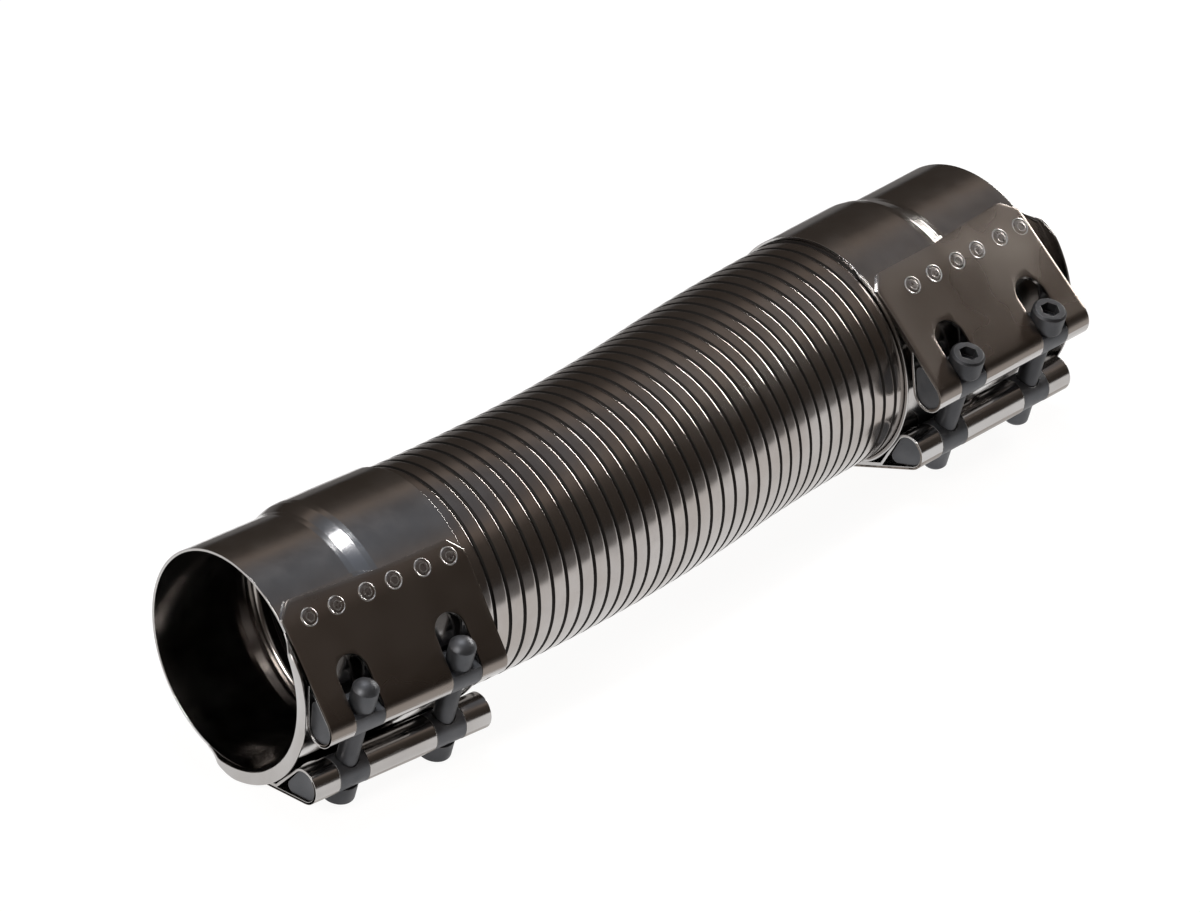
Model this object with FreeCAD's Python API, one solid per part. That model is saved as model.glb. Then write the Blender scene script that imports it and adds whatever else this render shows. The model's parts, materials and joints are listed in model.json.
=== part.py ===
"""Exhaust flex pipe: a wound metal hose held by a wide stepped band clamp at each end.

Millimetres, +Z up. The origin is the centre of the inlet clamp's outer rim, and +X runs along
the inlet's axis towards the outlet. The pipe lies on the floor, which is rest_height below.
"""
import FreeCAD, Part
import math
import os

from FreeCAD import Vector

# Clamp band: one strip of sheet, stepped from the pipe's size to the hose's size
pipe_bore_r = 50.9
band_t = 1.2
clamp_width = 100.0
step_start = 44.0
step_end = 56.0
step_spans = 4
tab_overlap = 13.0
tab_corner_along = 7.0
tab_corner_across = 8.0

# Loops at the band's two ends, seen along the pipe: out from the axis, and up and down
loop_out = 62.0
loop_spread = 17.7
loop_shift = 4.5
loop_r = 8.4
split_back = 20.0

# Slots that clear the screws
bolt_inset = 22.5
slot_width = 17.0
slot_reach = 26.0

# Bars inside the loops
bar_gap = 0.3
bar_end_inset = 1.0
nose_r = 3.0
seat_height = 5.2

# Screws and closed nuts
screw_r = 5.0
screw_hole_gap = 0.4
head_r = 8.0
head_height = 10.0
head_chamfer = 1.0
tip_chamfer = 1.2
hex_across = 8.0
hex_depth = 5.0
nut_r = 6.2
nut_length = 14.4
nut_bore_gap = 0.05
nut_engagement = 9.0
nut_bore_spare = 0.5
nut_dome_share = 1.15

# Bridge: the curved sheet that closes the gap between the band's ends
bridge_t = 0.9
bridge_edge_gap = 0.3
inlet_bridge_out = 3.0
outlet_bridge_out = 8.0
hose_side_out = 1.8
lip_t = 1.0
pipe_lip_rise = 6.1
hose_lip_rise = 1.9
lip_from_deg = -87.0
lip_to_deg = 57.0

# Hose: a strip wound in turns that lock into each other
hose_r = 53.4
hose_wall = 1.8
hose_fit = 0.3
turn_pitch = 8.0
groove_width = 1.3
groove_depth = 0.9
free_length = 280.0
bend_out_deg = 13.4
bend_back_deg = 7.1
outlet_roll_deg = 17.6

# Worked out from the sizes above
hose_bore_r = hose_r + hose_fit
loop_inner_r = loop_r - band_t
hose_start = step_end + 1.0
rest_height = max(pipe_bore_r + pipe_lip_rise, hose_bore_r + 2 * band_t)
bolt_places = (bolt_inset, clamp_width - bolt_inset)
nut_side = 1
head_side = -1


def bore_radius(x):
    """Inner radius of the band at a place along the clamp, with a smooth step."""
    share = min(max((x - step_start) / (step_end - step_start), 0.0), 1.0)
    return pipe_bore_r + (hose_bore_r - pipe_bore_r) * (0.5 - 0.5 * math.cos(math.pi * share))


def stations():
    """Places along the clamp where the band's section is drawn."""
    span = (step_end - step_start) / step_spans
    return [0.0] + [step_start + span * k for k in range(step_spans + 1)] + [clamp_width]


def loop_centre(side):
    """Centre of the nut-side or head-side loop, out from the axis and up."""
    return loop_out, side * loop_spread - loop_shift


class PlateFrame:
    """Directions of one flat plate: back towards the band's round part, and outwards."""

    def __init__(self, side, bore_r):
        self.side = side
        self.cu, self.cv = loop_centre(side)
        self.outer_r = bore_r + 2 * band_t
        distance = math.hypot(self.cu, self.cv)
        drop = self.outer_r - loop_r
        self.angle = math.atan2(abs(self.cv), self.cu) + math.acos(drop / distance)
        self.length = math.sqrt(distance ** 2 - drop ** 2)

    def point(self, back, out):
        """Section point from distances along the plate and square to it."""
        c, s = math.cos(self.angle), math.sin(self.angle)
        u = self.cu - back * s + out * c
        v = self.cv + self.side * (back * c + out * s)
        return u, v

    def polar(self, radius, degrees_past):
        """Section point on the round part, this many degrees past the plate's tangent."""
        a = self.angle + math.radians(degrees_past)
        return radius * math.cos(a), self.side * radius * math.sin(a)

    def on_loop(self, radius, degrees):
        """Section point on a circle about the loop's centre, 90 degrees being outwards."""
        a = math.radians(degrees)
        return self.point(radius * math.cos(a), radius * math.sin(a))

    def apex(self):
        """Where the two straight sides of the loop's hole meet, in distances along and out."""
        t = math.radians(self.inner_tangent())
        return loop_inner_r * (1 - math.sin(t)) / math.cos(t), loop_inner_r

    def inner_tangent(self):
        """Angle on the loop where the inner layer leaves it for the split."""
        su, sv = split_back, loop_r - 2 * band_t
        reach = math.hypot(su, sv)
        return math.degrees(math.atan2(sv, su) - math.acos(loop_r / reach))


def at(x, uv):
    """Point in the clamp's own frame, with the loops towards -Y."""
    return Vector(x, -uv[0], uv[1])


def line(x, a, b):
    return Part.LineSegment(at(x, a), at(x, b)).toShape()


def arc(x, a, middle, b):
    return Part.Arc(at(x, a), at(x, middle), at(x, b)).toShape()


def half_section(x, side):
    """Edges of one half of the band, from its outer back point round to its inner back point."""
    bore_r = bore_radius(x)
    outer_r = bore_r + band_t
    f = PlateFrame(side, bore_r)
    back_angle = math.pi - f.angle
    tab_angle = math.degrees(tab_overlap / f.outer_r)
    back_deg = math.degrees(back_angle)
    tangent = f.inner_tangent()
    turn = 360.0 + tangent - 90.0
    split = f.point(split_back, loop_r - 2 * band_t)
    return [
        arc(x, f.polar(outer_r, back_deg), f.polar(outer_r, (back_deg + tab_angle) / 2),
            f.polar(outer_r, tab_angle)),
        line(x, f.polar(outer_r, tab_angle), f.polar(f.outer_r, tab_angle)),
        arc(x, f.polar(f.outer_r, tab_angle), f.polar(f.outer_r, tab_angle / 2), f.polar(f.outer_r, 0)),
        line(x, f.polar(f.outer_r, 0), f.on_loop(loop_r, 90)),
        arc(x, f.on_loop(loop_r, 90), f.on_loop(loop_r, 90 + turn / 4), f.on_loop(loop_r, 90 + turn / 2)),
        arc(x, f.on_loop(loop_r, 90 + turn / 2), f.on_loop(loop_r, 90 + turn * 3 / 4),
            f.on_loop(loop_r, 90 + turn)),
        line(x, f.on_loop(loop_r, 90 + turn), split),
        line(x, split, f.polar(bore_r, 0)),
        arc(x, f.polar(bore_r, 0), f.polar(bore_r, back_deg / 2), f.polar(bore_r, back_deg)),
    ]


def eye_section(x, side):
    """Wire of the hole inside one loop, which the bar lies in."""
    f = PlateFrame(side, bore_radius(x))
    tangent = f.inner_tangent()
    turn = 360.0 + tangent - 90.0
    apex = f.point(*f.apex())
    return Part.Wire([
        line(x, apex, f.on_loop(loop_inner_r, 90)),
        arc(x, f.on_loop(loop_inner_r, 90), f.on_loop(loop_inner_r, 90 + turn / 4),
            f.on_loop(loop_inner_r, 90 + turn / 2)),
        arc(x, f.on_loop(loop_inner_r, 90 + turn / 2), f.on_loop(loop_inner_r, 90 + turn * 3 / 4),
            f.on_loop(loop_inner_r, 90 + turn)),
        line(x, f.on_loop(loop_inner_r, 90 + turn), apex),
    ])


def band_section(x):
    """Closed outline of the whole strip at one place along the clamp."""
    upper = half_section(x, nut_side)
    lower = half_section(x, head_side)
    return Part.Wire(Part.__sortEdges__(upper + lower))


def slot_cutter(x, side):
    """Round-topped slot through the plate and over the end of the loop."""
    f = PlateFrame(side, bore_radius(x))
    half = slot_width / 2
    beyond = loop_r + band_t
    origin = at(x, f.point(0, -beyond))
    out = at(x, f.point(0, 0)) - origin
    out.normalize()
    back = at(x, f.point(1, -beyond)) - origin
    along = Vector(1, 0, 0)
    round_end = slot_reach - half
    a = origin - along * half - back * beyond
    b = origin - along * half + back * round_end
    top = origin + back * slot_reach
    c = origin + along * half + back * round_end
    d = origin + along * half - back * beyond
    outline = Part.Wire([
        Part.LineSegment(a, b).toShape(),
        Part.Arc(b, top, c).toShape(),
        Part.LineSegment(c, d).toShape(),
        Part.LineSegment(d, a).toShape(),
    ])
    return Part.Face(outline).extrude(out * (2 * beyond))


def tab_corner_cutter(x, inwards, side):
    """Wedge that takes one corner off the folded-back tab and leaves the strip below it."""
    f = PlateFrame(side, bore_radius(x))
    strip_r = bore_radius(x) + band_t
    tab_angle = math.degrees(tab_overlap / f.outer_r)
    corner = at(x, f.polar(strip_r, tab_angle))
    radial = at(0, f.polar(1, tab_angle))
    toward_loop = at(0, f.polar(1, tab_angle - 90))
    beyond = toward_loop * band_t
    outside = Vector(-inwards, 0, 0)
    a = corner - beyond + outside
    b = corner - beyond + Vector(inwards * tab_corner_along, 0, 0)
    c = corner + toward_loop * tab_corner_across + outside
    below = radial * (3 * band_t)
    wedge = Part.Face(Part.makePolygon([a - below, b - below, c - below, a - below]))
    wedge = wedge.extrude(below * 3)
    length = 4 * tab_corner_along
    strip = Part.makeCylinder(strip_r, length, Vector(x - length / 2, 0, 0), Vector(1, 0, 0))
    return wedge.cut(strip)


def make_band():
    """Clamp band: stepped sheet, two looped ends folded back outside, slots for the screws."""
    band = Part.makeLoft([band_section(x) for x in stations()], True, True)
    for side in (nut_side, head_side):
        eye = Part.makeLoft([eye_section(x, side) for x in stations()], True, True)
        band = band.cut(eye)
        for x in bolt_places:
            band = band.cut(slot_cutter(x, side))
        band = band.cut(tab_corner_cutter(0.0, 1, side))
        band = band.cut(tab_corner_cutter(clamp_width, -1, side))
    return band


def bar_frame(side):
    """Plate directions at the middle of the clamp, which the straight bar follows."""
    return PlateFrame(side, (pipe_bore_r + hose_bore_r) / 2)


def bar_prism(side, body_r, x_from, x_to):
    """Rounded bar with a narrower nose that points into the split."""
    f = bar_frame(side)
    apex_back, apex_out = f.apex()
    twist = abs(PlateFrame(side, pipe_bore_r).angle - PlateFrame(side, hose_bore_r).angle) / 2
    room = nose_r + bar_gap + (math.hypot(apex_back, apex_out) / 2 + nose_r) * math.sin(twist)
    share = 1 - room / loop_inner_r
    nose_back, nose_out = apex_back * share, apex_out * share
    reach = math.hypot(nose_back, nose_out)
    lean = math.degrees(math.atan2(nose_out, nose_back))
    spread = math.degrees(math.acos((body_r - nose_r) / reach))

    def on_nose(degrees):
        a = math.radians(degrees)
        return f.point(nose_back + nose_r * math.cos(a), nose_out + nose_r * math.sin(a))

    high, low = lean + spread, lean - spread
    body_mid = (high + low + 360.0) / 2
    outline = Part.Wire([
        arc(x_from, f.on_loop(body_r, high), f.on_loop(body_r, body_mid), f.on_loop(body_r, low + 360)),
        line(x_from, f.on_loop(body_r, low), on_nose(low)),
        arc(x_from, on_nose(low), on_nose(lean), on_nose(high)),
        line(x_from, on_nose(high), f.on_loop(body_r, high)),
    ])
    return Part.Face(outline).extrude(Vector(x_to - x_from, 0, 0))


def make_bar(side):
    """Bar in one loop, with a flush boss and a flat seat at each screw."""
    bar = bar_prism(side, loop_inner_r - bar_gap, bar_end_inset, clamp_width - bar_end_inset)
    boss_half = slot_width / 2 - bar_gap
    cu, cv = loop_centre(side)
    outwards = Vector(0, 0, side)
    beyond = 2 * loop_r
    for x in bolt_places:
        bar = bar.fuse(bar_prism(side, loop_r, x - boss_half, x + boss_half))
    for x in bolt_places:
        centre = at(x, (cu, cv))
        above = Part.makeBox(2 * boss_half, 2 * beyond, beyond)
        above.translate(Vector(-boss_half, -beyond, min(0, side) * beyond))
        above.translate(centre + outwards * seat_height)
        bar = bar.cut(above)
        foot = centre - outwards * beyond
        bar = bar.cut(Part.makeCylinder(screw_r + screw_hole_gap, 2 * beyond, foot, outwards))
    return bar.removeSplitter()


def seat_height_at(side):
    """Height of the outer seat of one bar above the clamp's axis, with its sign."""
    return loop_centre(side)[1] + side * seat_height


def make_screw(x):
    """Cylinder-head screw with a hexagon socket, from the head bar up into its nut."""
    foot = at(x, (loop_out, seat_height_at(head_side)))
    reach = seat_height_at(nut_side) - seat_height_at(head_side) + nut_engagement
    up = Vector(0, 0, 1)
    shank = Part.makeCylinder(screw_r, reach - tip_chamfer, foot, up)
    tip = Part.makeCone(screw_r, screw_r - tip_chamfer, tip_chamfer, foot + up * (reach - tip_chamfer), up)
    straight = head_height - head_chamfer
    head = Part.makeCylinder(head_r, straight, foot, -up)
    rim = Part.makeCone(head_r, head_r - head_chamfer, head_chamfer, foot - up * straight, -up)
    hex_r = hex_across / math.sqrt(3)
    top = foot - up * head_height
    corners = []
    for k in range(7):
        a = math.radians(60 * k)
        corners.append(top + Vector(hex_r * math.cos(a), hex_r * math.sin(a), 0))
    socket = Part.Face(Part.makePolygon(corners)).extrude(up * hex_depth)
    return head.fuse([rim, shank, tip]).cut(socket).removeSplitter()


def make_nut(x):
    """Closed round nut with a domed end, on the seat of the nut bar."""
    foot = at(x, (loop_out, seat_height_at(nut_side)))
    up = Vector(0, 0, 1)
    dome_r = nut_r * nut_dome_share
    dome_rise = dome_r - math.sqrt(dome_r ** 2 - nut_r ** 2)
    body = Part.makeCylinder(nut_r, nut_length, foot, up)
    ball = Part.makeSphere(dome_r, foot + up * (nut_length - dome_r))
    keep = Part.makeCylinder(nut_r, nut_length - dome_rise, foot, up)
    body = body.common(ball).fuse(keep)
    bore = Part.makeCylinder(screw_r + nut_bore_gap, nut_engagement + nut_bore_spare, foot, up)
    return body.cut(bore).removeSplitter()


def ring_sector(x_from, x_to, r_in, r_out, deg_from, deg_to):
    """Part of a ring about the clamp's axis, between two angles from the loops' direction."""
    outline = [(x_from, r_in), (x_to, r_in), (x_to, r_out), (x_from, r_out), (x_from, r_in)]
    face = Part.Face(Part.makePolygon([Vector(x, -r, 0) for x, r in outline]))
    face.rotate(Vector(0, 0, 0), Vector(1, 0, 0), -deg_from)
    return face.revolve(Vector(0, 0, 0), Vector(1, 0, 0), -(deg_to - deg_from))


def gap_edges():
    """Angles between which the bridge's sheet clears the leaving band, nut side then head side."""
    angles = []
    for side in (nut_side, head_side):
        limits = []
        for bore_r in (pipe_bore_r, hose_bore_r):
            clear = math.acos(bore_r / (bore_r + bridge_t + bridge_edge_gap))
            limits.append(PlateFrame(side, bore_r).angle - clear)
        angles.append(side * math.degrees(min(limits)))
    return angles


def make_bridge(pipe_side_out):
    """Bridge: stepped curved sheet in the band's gap, with a turned-out lip at each end."""
    high, low = gap_edges()
    inner = [(x, bore_radius(x)) for x in stations()]
    pipe_end = -pipe_side_out
    hose_end = clamp_width + hose_side_out
    inner[0] = (pipe_end, pipe_bore_r)
    inner[-1] = (hose_end, hose_bore_r)
    outer = [(x, r + bridge_t) for x, r in inner]
    points = [Vector(x, -r, 0) for x, r in inner + outer[::-1]]
    face = Part.Face(Part.makePolygon(points + points[:1]))
    face.rotate(Vector(0, 0, 0), Vector(1, 0, 0), -low)
    sheet = face.revolve(Vector(0, 0, 0), Vector(1, 0, 0), -(high - low))
    collars = []
    for edge, end, bore_r, lip_rise in (
            (-bridge_edge_gap, pipe_end, pipe_bore_r, pipe_lip_rise),
            (clamp_width + bridge_edge_gap, hose_end, hose_bore_r, hose_lip_rise)):
        inwards = math.copysign(lip_t, edge - end)
        collars.append(ring_sector(edge, end, bore_r, bore_r + bridge_t, lip_from_deg, lip_to_deg))
        collars.append(ring_sector(end, end + inwards, bore_r, bore_r + lip_rise, lip_from_deg, lip_to_deg))
    return sheet.fuse(collars).removeSplitter()


def rest_roll():
    """Angle that the inlet clamp turns by until its screw heads touch the floor."""
    head_end = abs(seat_height_at(head_side)) + head_height
    rolls = []
    for out, down in ((head_r - head_chamfer, head_end), (head_r, head_end - head_chamfer)):
        reach = math.hypot(loop_out + out, down)
        rolls.append(math.asin(rest_height / reach) - math.atan2(down, loop_out + out))
    return math.degrees(min(rolls))


def path_point(s):
    """Point and heading of the hose's centre line at a length along it, in its own plane."""
    radius = free_length / math.radians(bend_out_deg + bend_back_deg)
    first = radius * math.radians(bend_out_deg)
    if s <= 0:
        return s, 0.0, 0.0
    if s <= first:
        a = s / radius
        return radius * math.sin(a), radius * (1 - math.cos(a)), a
    peak = math.radians(bend_out_deg)
    x, y = radius * math.sin(peak), radius * (1 - math.cos(peak))
    a = peak - (min(s, free_length) - first) / radius
    x += radius * (math.sin(peak) - math.sin(a))
    y += radius * (math.cos(a) - math.cos(peak))
    beyond = max(s - free_length, 0.0)
    return x + beyond * math.cos(a), y + beyond * math.sin(a), a


def outlet_depth():
    """How far the outlet clamp reaches below its axis: its round part, or its lower tab's edge."""
    f = PlateFrame(nut_side, hose_bore_r)
    tab_end = f.angle + tab_overlap / f.outer_r + math.radians(outlet_roll_deg)
    return max(hose_bore_r + band_t, f.outer_r * math.sin(min(tab_end, math.pi / 2)))


def lie_angle():
    """Lean of the hose's plane that lays the outlet clamp on the floor."""
    x, y, heading = path_point(free_length + clamp_width - step_end)
    return math.degrees(math.asin((rest_height - outlet_depth()) / y))


def place_path_plane(shape):
    """Leans a shape with the hose's plane and moves it to the inlet clamp's inner end."""
    shape.rotate(Vector(0, 0, 0), Vector(1, 0, 0), -lie_angle())
    shape.translate(Vector(clamp_width, 0, 0))
    return shape


def circle_on_path(s, radius):
    """Circle square to the hose's centre line."""
    x, y, a = path_point(s)
    return Part.Wire(Part.makeCircle(radius, Vector(x, y, 0), Vector(math.cos(a), math.sin(a), 0)))


def make_hose():
    """Wound hose: flat turns with a narrow groove between them, on a gentle S line."""
    inside = clamp_width - hose_start
    total = free_length + 2 * inside
    turns = int(total / turn_pitch)
    margin = (total - turns * turn_pitch) / 2
    start = -inside
    rings = [(start, hose_r)]
    for k in range(turns + 1):
        groove = start + margin + k * turn_pitch
        if k in (0, turns) and margin < groove_width:
            continue
        rings.append((groove - groove_width / 2, hose_r))
        rings.append((groove, hose_r - groove_depth))
        rings.append((groove + groove_width / 2, hose_r))
    rings.append((start + total, hose_r))
    outer = Part.makeLoft([circle_on_path(s, r) for s, r in rings], True, True)
    inner_r = hose_r - hose_wall
    edges = [start - 1.0, 0.0, free_length, start + total + 1.0]
    radius = free_length / math.radians(bend_out_deg + bend_back_deg)
    middle = radius * math.radians(bend_out_deg)
    inner = [Part.Face(circle_on_path(edges[0], inner_r)).extrude(Vector(edges[1] - edges[0], 0, 0))]
    first = Part.Face(circle_on_path(0.0, inner_r))
    inner.append(first.revolve(Vector(0, radius, 0), Vector(0, 0, 1), bend_out_deg))
    x, y, a = path_point(middle)
    centre = Vector(x + radius * math.sin(a), y - radius * math.cos(a), 0)
    second = Part.Face(circle_on_path(middle, inner_r))
    inner.append(second.revolve(centre, Vector(0, 0, 1), -bend_back_deg))
    x, y, a = path_point(free_length)
    run = edges[3] - free_length
    last = Part.Face(circle_on_path(free_length, inner_r))
    inner.append(last.extrude(Vector(run * math.cos(a), run * math.sin(a), 0)))
    for piece in inner:
        outer = outer.cut(piece)
    return place_path_plane(outer)


def place_inlet(shape):
    """Puts a clamp piece at the inlet, turned until it rests."""
    shape.rotate(Vector(0, 0, 0), Vector(1, 0, 0), rest_roll())
    return shape


def place_outlet(shape):
    """Puts a clamp piece at the outlet, turned end for end so that its screw heads are on top."""
    shape.rotate(Vector(0, 0, 0), Vector(0, 1, 0), 180)
    shape.rotate(Vector(0, 0, 0), Vector(1, 0, 0), outlet_roll_deg + lie_angle())
    x, y, a = path_point(free_length + clamp_width)
    shape.rotate(Vector(0, 0, 0), Vector(0, 0, 1), math.degrees(a))
    shape.translate(Vector(x, y, 0))
    return place_path_plane(shape)


def clamp_pieces():
    """Every piece that both clamps share, in the clamp's own frame."""
    pieces = {
        "clamp_band": make_band(),
        "nut_bar": make_bar(nut_side),
        "head_bar": make_bar(head_side),
    }
    for number, x in enumerate(bolt_places, 1):
        pieces["clamp_screw_%d" % number] = make_screw(x)
        pieces["round_nut_%d" % number] = make_nut(x)
    return pieces


def write(name, shape):
    solids = shape.Solids
    if len(solids) != 1 or not shape.isValid():
        raise ValueError("%s: %d solids, valid %s" % (name, len(solids), shape.isValid()))
    box = shape.BoundBox
    print("%-22s volume %10.1f  z %.2f to %.2f" % (name, shape.Volume, box.ZMin, box.ZMax))
    solids[0].exportStep("parts/%s.step" % name)


def main():
    os.makedirs("parts", exist_ok=True)
    write("flex_hose", make_hose())
    for name, shape in clamp_pieces().items():
        write("inlet_" + name, place_inlet(shape.copy()))
        write("outlet_" + name, place_outlet(shape.copy()))
    write("inlet_gap_bridge", place_inlet(make_bridge(inlet_bridge_out)))
    write("outlet_gap_bridge", place_outlet(make_bridge(outlet_bridge_out)))
    for x in (0.0, step_start / 2, clamp_width):
        point = place_outlet(Part.Vertex(x, 0, 0)).Point
        print("outlet axis at %.1f: %.4f %.4f %.4f" % (x, point.x, point.y, point.z))
    print("floor at z %.4f" % -rest_height)
    print("inlet roll %.3f, plane lean %.3f" % (rest_roll(), lie_angle()))


main()
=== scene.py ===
import json
import math

import bmesh
import bpy
from mathutils import Matrix, Vector


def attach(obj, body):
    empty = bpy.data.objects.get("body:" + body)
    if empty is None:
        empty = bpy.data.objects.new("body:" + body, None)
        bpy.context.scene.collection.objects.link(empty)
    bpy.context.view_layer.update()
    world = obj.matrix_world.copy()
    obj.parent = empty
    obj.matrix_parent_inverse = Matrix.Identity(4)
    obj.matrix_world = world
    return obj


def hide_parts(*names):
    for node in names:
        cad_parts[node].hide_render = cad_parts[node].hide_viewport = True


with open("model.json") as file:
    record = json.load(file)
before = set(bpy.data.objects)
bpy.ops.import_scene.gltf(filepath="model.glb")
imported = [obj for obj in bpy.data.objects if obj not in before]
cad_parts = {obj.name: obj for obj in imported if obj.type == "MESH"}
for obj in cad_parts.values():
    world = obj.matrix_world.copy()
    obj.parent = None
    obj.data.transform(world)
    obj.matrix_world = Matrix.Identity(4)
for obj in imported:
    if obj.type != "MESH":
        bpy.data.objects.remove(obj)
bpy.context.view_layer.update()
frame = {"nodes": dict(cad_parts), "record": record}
scene = bpy.context.scene

# Camera: it looks down on the pipe from the inlet's side. It stands far off with a long lens, so
# that the two clamps keep nearly the same size.
camera_data = bpy.data.cameras.new("long_lens")
camera_data.lens = 471.7546
camera_data.clip_start = 0.5
camera_data.clip_end = 200.0
camera = bpy.data.objects.new("long_lens", camera_data)
camera.location = (-3.69670527, -4.58328831, 3.55197571)
camera.rotation_euler = (math.radians(90.0 - 30.364), 0.0, math.radians(-40.474))
scene.collection.objects.link(camera)
scene.camera = camera
scene.view_settings.view_transform = "Standard"

# Studio: the pipe lies on a white table, whose reflection shows along its lower side. Past the
# table the floor is white to the camera and dull to the metal, and three soft lamps stand far off.
floor_z = -0.057
floor_half = 30
table_middle = (0.24, 0.02)
table_half_length, table_reach, table_fade = 0.27, 0.24, 0.035
glow_share = 0.84


def add(tree, kind, inputs=None, **settings):
    """Adds a node; inputs maps a socket's name or number to a value or to another node's output."""
    node = tree.nodes.new(kind)
    for key, value in settings.items():
        setattr(node, key, value)
    for key, value in (inputs or {}).items():
        socket = node.inputs[key]
        if isinstance(value, bpy.types.NodeSocket):
            tree.links.new(value, socket)
        else:
            socket.default_value = value
    return node


def maths(tree, operation, a, b=0.0):
    return add(tree, "ShaderNodeMath", {0: a, 1: b}, operation=operation).outputs[0]


def ramp(tree, value, stops):
    """Colour ramp through (place, colour) stops."""
    node = add(tree, "ShaderNodeValToRGB", {0: value})
    elements = node.color_ramp.elements
    while len(elements) < len(stops):
        elements.new(0.5)
    for element, (place, colour) in zip(elements, stops):
        element.position = place
        element.color = (*colour, 1.0)
    return node.outputs[0]


def who_looks(tree):
    """Two shares: 1 where the camera looks at the surface, and 1 where a mirror or glass does."""
    path = add(tree, "ShaderNodeLightPath")
    gloss = maths(tree, "MAXIMUM", path.outputs["Is Glossy Ray"], path.outputs["Is Transmission Ray"])
    return path.outputs["Is Camera Ray"], gloss


table_white = bpy.data.materials.new("table_white")
table_white.use_nodes = True
tree = table_white.node_tree
tree.nodes.clear()
by_camera, by_gloss = who_looks(tree)
place = add(tree, "ShaderNodeTexCoord").outputs["Object"]
axes = add(tree, "ShaderNodeSeparateXYZ", {0: place})
from_middle = [maths(tree, "ABSOLUTE", maths(tree, "SUBTRACT", axes.outputs[k], table_middle[k]))
               for k in (0, 1)]
past_x = maths(tree, "MAXIMUM", maths(tree, "SUBTRACT", from_middle[0], table_half_length), 0.0)
reach = maths(tree, "SQRT", maths(tree, "ADD", maths(tree, "MULTIPLY", past_x, past_x),
                                  maths(tree, "MULTIPLY", from_middle[1], from_middle[1])))
on_table = add(tree, "ShaderNodeMapRange",
               {0: reach, 1: table_reach, 2: table_reach + table_fade, 3: 1.0, 4: 0.06},
               interpolation_type="SMOOTHSTEP").outputs[0]
shown = maths(tree, "MAXIMUM", by_camera, maths(tree, "MULTIPLY", by_gloss, on_table))
lit = add(tree, "ShaderNodeBsdfDiffuse", {"Color": (0.82, 0.81, 0.80, 1.0)})
glow = add(tree, "ShaderNodeEmission", {"Color": (1.0, 0.995, 0.99, 1.0), "Strength": 1.12})
dull = add(tree, "ShaderNodeBsdfDiffuse", {"Color": (0.10, 0.09, 0.085, 1.0)})
plain = add(tree, "ShaderNodeMixShader", {0: on_table, 1: dull.outputs[0], 2: lit.outputs[0]})
plain = add(tree, "ShaderNodeMixShader", {0: by_camera, 1: plain.outputs[0], 2: lit.outputs[0]})
both = add(tree, "ShaderNodeMixShader",
           {0: maths(tree, "MULTIPLY", shown, glow_share), 1: plain.outputs[0], 2: glow.outputs[0]})
add(tree, "ShaderNodeOutputMaterial", {0: both.outputs[0]})

floor_mesh = bpy.data.meshes.new("studio_floor")
floor_corners = [(x * floor_half, y * floor_half, floor_z) for x, y in ((-1, -1), (1, -1), (1, 1), (-1, 1))]
floor_mesh.from_pydata(floor_corners, [], [(0, 1, 2, 3)])
floor_mesh.materials.append(table_white)
floor = bpy.data.objects.new("studio_floor", floor_mesh)
scene.collection.objects.link(floor)

world = bpy.data.worlds.new("dim_room")
scene.world = world
world.use_nodes = True
tree = world.node_tree
tree.nodes.clear()
heading = add(tree, "ShaderNodeSeparateXYZ", {0: add(tree, "ShaderNodeTexCoord").outputs["Generated"]})
room = ramp(tree, heading.outputs[2], [
    (0.0, (0.045, 0.036, 0.030)), (0.40, (0.060, 0.049, 0.041)), (0.56, (0.085, 0.070, 0.060)),
    (0.68, (0.25, 0.205, 0.175)), (0.78, (0.15, 0.145, 0.15)), (0.90, (0.17, 0.185, 0.21)),
    (1.0, (0.22, 0.24, 0.29))])
room = add(tree, "ShaderNodeBackground", {"Color": room, "Strength": 1.0})
add(tree, "ShaderNodeOutputWorld", {0: room.outputs[0]})


def soft_lamp(name, place, size, power, colour):
    """Rectangular soft lamp aimed at the middle of the pipe."""
    data = bpy.data.lights.new(name, "AREA")
    data.shape = "RECTANGLE"
    data.size, data.size_y = size
    data.energy = power
    data.color = colour
    lamp = bpy.data.objects.new(name, data)
    lamp.location = place
    lamp.rotation_mode = "QUATERNION"
    lamp.rotation_quaternion = (Vector((*table_middle, 0.0)) - Vector(place)).to_track_quat("-Z", "Y")
    scene.collection.objects.link(lamp)


soft_lamp("lamp_inlet_side", (-1.75, -0.45, 1.25), (0.8, 0.6), 26.0, (1.0, 0.98, 0.96))
soft_lamp("lamp_outlet_side", (2.25, 0.30, 0.80), (1.4, 0.22), 25.0, (1.0, 0.98, 0.95))
soft_lamp("lamp_overhead", (0.33, 0.22, 2.20), (0.55, 0.40), 17.0, (0.97, 0.98, 1.0))

# Hose: one stainless strip, rolled to a profile and wound so that its turns hook into each other.
# Each turn shows a flat land, a rounded edge and a narrow groove whose near-black colour is painted
# shade, and the two ends sit inside the clamps' wide halves.
hose_radius = 0.0534
hose_wall = 0.0018
turn_pitch = 0.008
free_length = 0.280
held_length = 0.043
line_spare = 0.004
line_steps = 366
bend_out = math.radians(13.4)
bend_back = math.radians(7.1)
plane_lean = math.radians(1.608)
clamp_width = 0.100
groove_depth = 0.0010
# One turn across the strip: place along the pitch, and height as a share of the groove's depth
turn_profile = [
    (0.000, 1.00), (0.020, 1.00), (0.340, 1.00), (0.600, 1.00), (0.680, 0.985), (0.730, 0.95),
    (0.770, 0.88), (0.800, 0.76), (0.822, 0.50), (0.840, 0.06), (0.900, 0.00), (0.972, 0.00),
    (0.980, 0.92), (0.988, 0.99), (1.000, 1.00)]


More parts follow.
